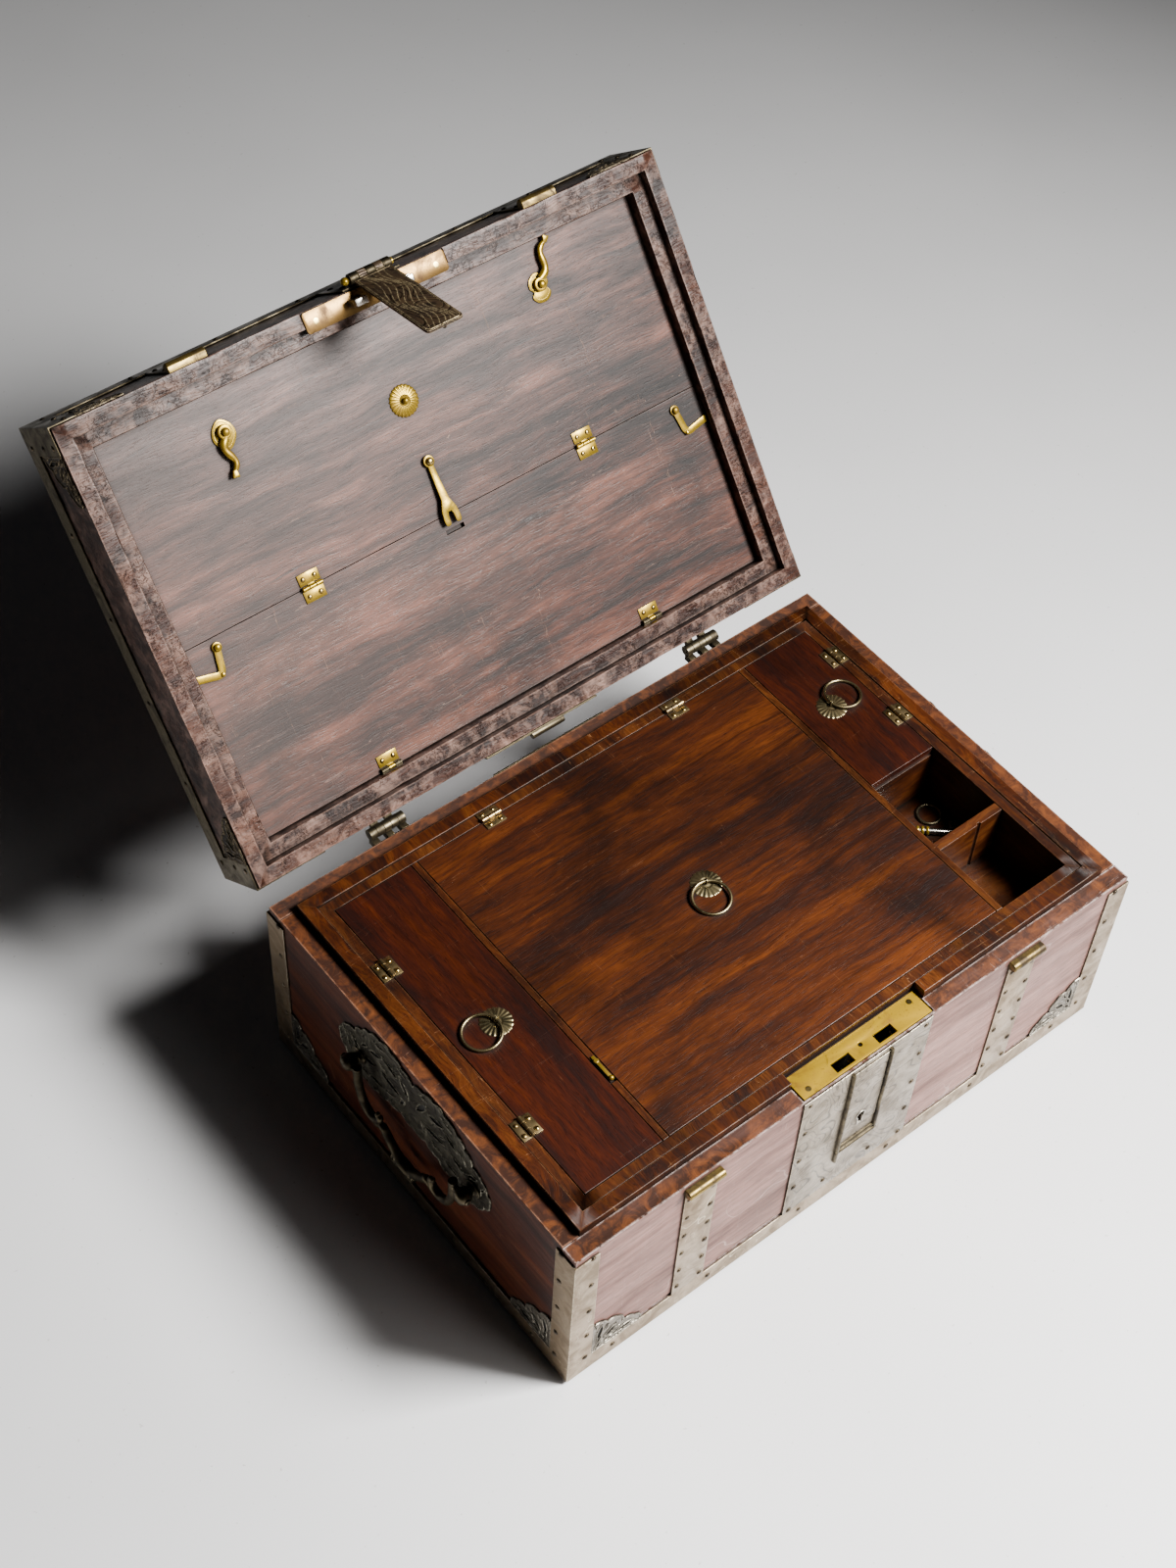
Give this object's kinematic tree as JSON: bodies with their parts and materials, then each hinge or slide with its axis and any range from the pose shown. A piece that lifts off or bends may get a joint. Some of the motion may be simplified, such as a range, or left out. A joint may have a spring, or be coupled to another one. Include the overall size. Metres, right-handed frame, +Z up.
{
  "type": "strongbox",
  "caption": "Wooden strongbox with brass straps, a hinged lid with a hasp and a double-bolt lock, drop handles, a fitted tray with flush lids, and a folding document panel inside the lid.",
  "frame": {"origin": "on the surface that the feet stand on, under the middle of the open box's outline seen from above", "axes": "+Z up, +Y from the front to the back, +X to the right as seen from the front"},
  "size_m": [0.478, 0.5524, 0.4267],
  "materials": {
    "dark_wood": "satin, reddish brown, worn at the edges",
    "lining_wood": "satin, lighter orange brown",
    "panel_wood": "satin, with a greyish bloom",
    "bright_brass": "worn, bright yellow",
    "aged_brass": "dull, grey brown",
    "dark_bronze": "nearly black, with brass showing at the edges",
    "iron": "dull grey"
  },
  "bodies": {
    "box": {"front_board": "dark_wood", "back_board": "dark_wood", "side_boards": "dark_wood", "bottom_board": "dark_wood", "rim_lip": "lining_wood", "inner_frame": "lining_wood", "compartment_dividers": "lining_wood", "well_box": "lining_wood", "tray_ledges": "lining_wood", "base_band": "aged_brass", "corner_straps": "aged_brass", "front_straps": "aged_brass", "back_straps": "aged_brass", "corner_mounts": "dark_bronze", "lock_plate": "aged_brass", "lock_moulding": "aged_brass", "keyhole_plate": "aged_brass", "lock_top_plate": "bright_brass", "lock_case": "iron", "feet": "aged_brass", "body_nails": "aged_brass", "side_cartouches": "dark_bronze", "handle_posts": "dark_bronze", "tray_hinges": "bright_brass"},
    "lid": {"lid_board": "dark_wood", "lid_rails": "dark_wood", "lid_inner_frame": "lining_wood", "lid_bands": "aged_brass", "lid_corner_mounts": "dark_bronze", "lid_straps": "aged_brass", "lid_hinges": "aged_brass", "strike_plate": "bright_brass", "lid_nails": "aged_brass", "hasp_hinge_leaf": "aged_brass"},
    "hasp_pin": {"hasp_pin": "dark_bronze"},
    "hasp": {"hasp_flap": "dark_bronze"},
    "lower_leaf": {"lower_leaf": "panel_wood", "lower_leaf_fittings": "bright_brass"},
    "upper_leaf": {"upper_leaf": "panel_wood", "upper_leaf_fittings": "bright_brass"},
    "fork_screw": {"fork_screw": "bright_brass"},
    "fork_lever": {"fork_lever": "bright_brass"},
    "left_hook": {"left_hook": "bright_brass"},
    "right_hook": {"right_hook": "bright_brass"},
    "left_latch": {"left_latch": "bright_brass"},
    "right_latch": {"right_latch": "bright_brass"},
    "left_bail": {"left_bail": "dark_bronze"},
    "right_bail": {"right_bail": "dark_bronze"},
    "lock_bolt": {"lock_bolt": "iron"},
    "key": {"key": "aged_brass"},
    "spring_catch": {"spring_catch": "bright_brass"},
    "left_ring": {"left_ring": "aged_brass"},
    "centre_ring": {"centre_ring": "aged_brass"},
    "right_ring": {"right_ring": "aged_brass"},
    "left_tray": {"left_tray_lid": "panel_wood", "left_tray_fittings": "bright_brass"},
    "centre_tray": {"centre_tray_lid": "panel_wood", "centre_tray_fittings": "bright_brass"},
    "right_tray": {"right_tray_lid": "panel_wood", "right_tray_fittings": "bright_brass"}
  },
  "joints": [
    {"name": "lid_hinge", "type": "hinge", "parent": "box", "child": "lid", "pos_m": [0, 0.04423, 0.1571], "axis": [-1, 0, 0], "range_deg": [-127.4, 0]},
    {"name": "hasp_pin_turn", "type": "hinge", "parent": "lid", "child": "hasp_pin", "pos_m": [0.00185, 0.23693, 0.41259], "axis": [-1, 0, 0], "range_deg": [0, 28.1]},
    {"name": "hasp_swing", "type": "hinge", "parent": "hasp_pin", "child": "hasp", "pos_m": [0.00185, 0.23693, 0.41259], "axis": [-1, 0, 0], "range_deg": [0, 150]},
    {"name": "panel_hinge", "type": "hinge", "parent": "lid", "child": "lower_leaf", "pos_m": [0, 0.07037, 0.174], "axis": [1, 0, 0], "range_deg": [0, 40]},
    {"name": "leaf_fold", "type": "hinge", "parent": "lower_leaf", "child": "upper_leaf", "pos_m": [0, 0.14848, 0.27616], "axis": [1, 0, 0], "range_deg": [0, 165]},
    {"name": "fork_screw_turn", "type": "hinge", "parent": "upper_leaf", "child": "fork_screw", "pos_m": [-0.0026, 0.1722, 0.30422], "axis": [0, -0.7944, 0.6074], "range_deg": [0, 165]},
    {"name": "fork_turn", "type": "hinge", "parent": "fork_screw", "child": "fork_lever", "pos_m": [-0.0026, 0.1722, 0.30422], "axis": [0, -0.7944, 0.6074], "range_deg": [-75, 0]},
    {"name": "left_hook_turn", "type": "hinge", "parent": "upper_leaf", "child": "left_hook", "pos_m": [-0.1228, 0.21654, 0.36222], "axis": [0, -0.7944, 0.6074], "range_deg": [-171.2, 20]},
    {"name": "right_hook_turn", "type": "hinge", "parent": "upper_leaf", "child": "right_hook", "pos_m": [0.118, 0.2149, 0.36007], "axis": [0, 0.7944, -0.6074], "range_deg": [-30.1, 100]},
    {"name": "left_latch_turn", "type": "hinge", "parent": "lower_leaf", "child": "left_latch", "pos_m": [-0.182, 0.1459, 0.26982], "axis": [0, -0.7944, 0.6074], "range_deg": [-12, 60]},
    {"name": "right_latch_turn", "type": "hinge", "parent": "lower_leaf", "child": "right_latch", "pos_m": [0.1821, 0.14463, 0.26816], "axis": [0, 0.7944, -0.6074], "range_deg": [-12, 60]},
    {"name": "left_tray_hinge", "type": "hinge", "parent": "box", "child": "left_tray", "pos_m": [-0.1955, -0.11657, 0.1608], "axis": [0, -1, 0], "range_deg": [0, 95]},
    {"name": "centre_tray_hinge", "type": "hinge", "parent": "box", "child": "centre_tray", "pos_m": [0.0024, 0.00833, 0.1608], "axis": [-1, 0, 0], "range_deg": [0, 95]},
    {"name": "right_tray_hinge", "type": "hinge", "parent": "box", "child": "right_tray", "pos_m": [0.1955, -0.05317, 0.1608], "axis": [0, 1, 0], "range_deg": [0, 95]},
    {"name": "left_ring_turn", "type": "hinge", "parent": "left_tray", "child": "left_ring", "pos_m": [-0.1653, -0.11717, 0.1621], "axis": [-0.154, 0.9881, 0], "range_deg": [0, 170]},
    {"name": "centre_ring_turn", "type": "hinge", "parent": "centre_tray", "child": "centre_ring", "pos_m": [0.0022, -0.11457, 0.1621], "axis": [-0.9074, 0.4202, 0], "range_deg": [0, 170]},
    {"name": "right_ring_turn", "type": "hinge", "parent": "right_tray", "child": "right_ring", "pos_m": [0.1647, -0.05317, 0.1621], "axis": [0.2319, -0.9727, 0], "range_deg": [0, 170]},
    {"name": "left_bail_swing", "type": "hinge", "parent": "box", "child": "left_bail", "pos_m": [-0.2345, -0.11767, 0.107], "axis": [0, 1, 0], "range_deg": [-5, 90]},
    {"name": "right_bail_swing", "type": "hinge", "parent": "box", "child": "right_bail", "pos_m": [0.2345, -0.11767, 0.107], "axis": [0, -1, 0], "range_deg": [-5, 90]},
    {"name": "bolt_throw", "type": "slide", "parent": "box", "child": "lock_bolt", "axis": [-1, 0, 0], "range_m": [0, 0.0052]},
    {"name": "key_lift", "type": "slide", "parent": "box", "child": "key", "axis": [0, 0, 1], "range_m": [0, 0.06]},
    {"name": "catch_spring", "type": "hinge", "parent": "box", "child": "spring_catch", "pos_m": [-0.1349, -0.17517, 0.159], "axis": [0, 0, 1], "range_deg": [0, 2.5], "stiffness_Nm_per_rad": 0.05}
  ],
  "couplings": [
    {"joint": "hasp_pin_turn", "follows": "lid_hinge", "ratio": -0.2198},
    {"joint": "fork_screw_turn", "follows": "leaf_fold", "ratio": 1}
  ]
}
